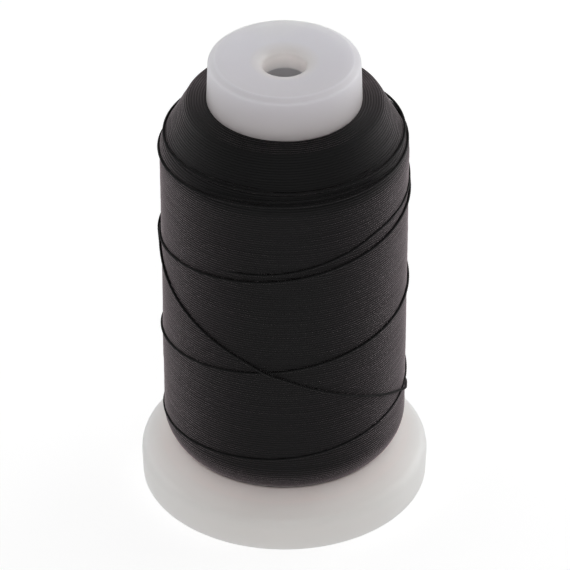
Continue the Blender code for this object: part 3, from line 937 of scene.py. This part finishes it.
def last_wraps_route():
    """The open wraps, which come up from among the turns, and their end in the groove."""
    points = []
    turn = float(WRAP_STATIONS[0][0])
    while turn < WRAP_STATIONS[-1][0]:
        height = smooth_height(WRAP_STATIONS, turn)
        points.append(wrap_point(turn, height, wrap_seat(turn) + crossing_rise(turn)))
        turn += WRAP_STEP
    for here, there in zip(TAIL_STATIONS, TAIL_STATIONS[1:]):
        steps = max(1, round((there[0] - here[0]) / TAIL_STEP))
        for i in range(steps):
            turn, radius, height = (a + i / steps * (b - a) for a, b in zip(here, there))
            points.append(about_axis(radius * MM, math.radians(turn), height * MM))
    turn, radius, height = TAIL_STATIONS[-1]
    points.append(about_axis(radius * MM, math.radians(turn), height * MM))
    return points


def sunk_route(stations, seat):
    """An earlier wrap that shows between two places and dips under the winding at both."""
    points = []
    first, last = stations[0][0], stations[-1][0]
    turn = float(first)
    while turn <= last:
        near_end = min(turn - first, last - turn)
        depth = SUNK_DEPTH * (1 - min(1.0, near_end / SUNK_TURN)) ** 2
        points.append(wrap_point(turn, smooth_height(stations, turn), seat - depth))
        turn += WRAP_STEP
    return points


def smoothed(points, spacing):
    """The route at even spacing, with its corners eased, and the length along it at each point."""
    path = np.array(points)
    for _ in range(EASING_PASSES):
        path[1:-1] = (path[:-2] + 2 * path[1:-1] + path[2:]) / 4
    length = np.concatenate([[0.0], np.cumsum(np.linalg.norm(np.diff(path, axis=0), axis=1))])
    places = np.linspace(0, length[-1], max(2, int(length[-1] / spacing)))
    return np.stack([np.interp(places, length, path[:, k]) for k in range(3)], axis=1), places


def unit(vectors):
    return vectors / np.linalg.norm(vectors, axis=1)[:, None]


def strand_rings(path, places):
    """Rings of points round a path, which turn with the twist so that each column follows a ply."""
    columns = np.arange(STRAND_SIDES)
    crest = np.abs(np.cos(columns * math.pi * PLIES / STRAND_SIDES))
    section = THREAD_DIAMETER / 2 * (1 - PLY_RELIEF + PLY_RELIEF * crest**PLY_SHARPNESS)
    tangent = unit(np.gradient(path, axis=0))
    side = unit(np.cross(tangent, unit(path * np.array([1.0, 1.0, 0.0]))))
    out = np.cross(side, tangent)
    angle = TURN * places[:, None] / TWIST_LENGTH + TURN * columns / STRAND_SIDES
    outward_part = (section * np.cos(angle))[..., None] * out[:, None, :]
    sideways_part = (section * np.sin(angle))[..., None] * side[:, None, :]
    return path[:, None, :] + outward_part + sideways_part


def twisted_thread(name, routes, look):
    """Three-ply thread along each route. Its rows of vertices follow the plies."""
    vertices, faces, uvs = [], [], []
    for route in routes:
        path, places = smoothed(route, TWIST_LENGTH / 10)
        first = len(vertices)
        vertices += strand_rings(path, places).reshape(-1, 3).tolist()
        for i in range(len(path) - 1):
            low, high = first + i * STRAND_SIDES, first + (i + 1) * STRAND_SIDES
            advance = (places[i + 1] - places[i]) / TWIST_LENGTH
            for k in range(STRAND_SIDES):
                after = (k + 1) % STRAND_SIDES
                faces.append((low + k, low + after, high + after, high + k))
                v, next_v = 2 * k / STRAND_SIDES, 2 * (k + 1) / STRAND_SIDES
                uvs += [(v / 2, v), (next_v / 2, next_v)]
                uvs += [(next_v / 2 + advance, next_v), (v / 2 + advance, v)]
        for end in (0, len(path) - 1):
            faces.append(tuple(first + end * STRAND_SIDES + k for k in range(STRAND_SIDES)))
            uvs += [(0.0, 0.0)] * STRAND_SIDES
    mesh = bpy.data.meshes.new(name)
    mesh.from_pydata(vertices, [], faces)
    layer = mesh.uv_layers.new(name="strand")
    layer.data.foreach_set("uv", np.array(uvs, np.float32).reshape(-1))
    mark = mesh.attributes.new("open_wrap", "FLOAT", "POINT")
    mark.data.foreach_set("value", np.ones(len(vertices), np.float32))
    outward(mesh)
    piece = new_piece(name, mesh, look, sharp_angle=None)
    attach(piece, "barrel")
    return piece


# ---------------------------------------------------------------- camera and studio


def look_at(obj, place, target):
    obj.location = place
    obj.rotation_euler = (Vector(target) - Vector(place)).to_track_quat("-Z", "Y").to_euler()


def make_camera():
    """The photo's camera: a metre off in front, looking down at the spool with a long lens."""
    camera = bpy.data.objects.new("camera", bpy.data.cameras.new("camera"))
    bpy.context.scene.collection.objects.link(camera)
    back = CAMERA_DISTANCE * math.cos(CAMERA_ELEVATION)
    rise = CAMERA_DISTANCE * math.sin(CAMERA_ELEVATION)
    look_at(camera, (0.0, -back, CAMERA_TARGET[2] + rise), CAMERA_TARGET)
    camera.data.sensor_width = 36.0
    camera.data.lens = CAMERA_LENS
    camera.data.shift_x = CAMERA_SHIFT
    camera.data.clip_start = 0.01
    camera.data.clip_end = 20.0
    bpy.context.scene.camera = camera


def area_light(name, place, width, height, radiance):
    """A soft white panel of a given brightness that faces the spool."""
    light = bpy.data.lights.new(name, "AREA")
    light.shape = "RECTANGLE"
    light.size, light.size_y = width, height
    light.energy = radiance * math.pi * width * height
    panel = bpy.data.objects.new(name, light)
    bpy.context.scene.collection.objects.link(panel)
    panel.visible_camera = False
    look_at(panel, place, PANELS_TARGET)


def make_world():
    """Faint light from all round, stronger from below, as a white floor throws it back."""
    world = bpy.data.worlds.new("studio")
    world.use_nodes = True
    nodes, links = world.node_tree.nodes, world.node_tree.links
    direction = nodes.new("ShaderNodeTexCoord")
    split = nodes.new("ShaderNodeSeparateXYZ")
    links.new(direction.outputs["Generated"], split.inputs["Vector"])
    fade = nodes.new("ShaderNodeMapRange")
    for socket, value in (("From Min", -0.25), ("From Max", 0.25), ("To Min", 0.60), ("To Max", 0.20)):
        fade.inputs[socket].default_value = value
    links.new(split.outputs["Z"], fade.inputs["Value"])
    background = nodes["Background"]
    background.inputs["Color"].default_value = (1.0, 1.0, 1.0, 1.0)
    links.new(fade.outputs["Result"], background.inputs["Strength"])
    bpy.context.scene.world = world


def white_paper():
    paper = bpy.data.materials.new("white_paper")
    paper.use_nodes = True
    shader = paper.node_tree.nodes["Principled BSDF"]
    shader.inputs["Base Color"].default_value = (0.4, 0.4, 0.4, 1.0)
    shader.inputs["Roughness"].default_value = 0.9
    shader.inputs["Specular IOR Level"].default_value = 0.0
    shader.inputs["Emission Color"].default_value = (1.0, 1.0, 1.0, 1.0)
    shader.inputs["Emission Strength"].default_value = 0.78
    return paper


def make_backdrop():
    """A white paper floor that curves up into a wall all round."""
    profile = [(0.001, 0.0), (0.3, 0.0), (1.0, 0.0), (PAPER_RADIUS, 0.0)]
    for i in range(1, PAPER_CURVE_STEPS + 1):
        angle = math.radians(90 * i / PAPER_CURVE_STEPS)
        profile.append((PAPER_RADIUS + PAPER_CURVE * math.sin(angle), PAPER_CURVE * (1 - math.cos(angle))))
    profile.append((PAPER_RADIUS + PAPER_CURVE, PAPER_TOP))
    count = len(profile)
    vertices = []
    for angle in evenly(PAPER_STEPS):
        vertices += [(r * math.cos(angle), r * math.sin(angle), z - PAPER_DROP) for r, z in profile]
    faces = []
    for i in range(PAPER_STEPS):
        here, there = i * count, (i + 1) % PAPER_STEPS * count
        faces += [(here + j, there + j, there + j + 1, here + j + 1) for j in range(count - 1)]
    faces.append([i * count for i in range(PAPER_STEPS)])
    mesh = bpy.data.meshes.new("backdrop")
    mesh.from_pydata(vertices, [], faces)
    mesh.shade_smooth()
    mesh.materials.append(white_paper())
    backdrop = bpy.data.objects.new("backdrop", mesh)
    bpy.context.scene.collection.objects.link(backdrop)
    backdrop.visible_diffuse = False


def make_studio():
    bpy.context.scene.view_settings.view_transform = "Standard"
    bpy.context.scene.view_settings.look = "None"
    make_world()
    area_light("left_panel", (-0.5, 0.27, 0.2), 0.45, 0.45, 1.05)
    area_light("right_panel", (0.5, 0.27, 0.2), 0.45, 0.45, 2.2)
    area_light("front_panel", (0.05, -0.80, 0.46), 0.7, 0.5, 1.6)
    area_light("top_panel", (0.0, 0.16, 0.65), 0.6, 0.5, 0.95)
    make_backdrop()


# ---------------------------------------------------------------- the spool


def main():
    make_camera()
    make_studio()
    thread_look = black_thread()
    make_foot(foot_plastic())
    make_barrel(barrel_plastic())
    make_winding(thread_look)
    wraps = twisted_thread("last_wraps_thread", [last_wraps_route()], thread_look)
    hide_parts("last_wraps")
    earlier_routes = [sunk_route(stations, seat) for stations, seat in SUNK_WRAPS]
    twisted_thread("earlier_wraps_thread", earlier_routes, thread_look)


main()
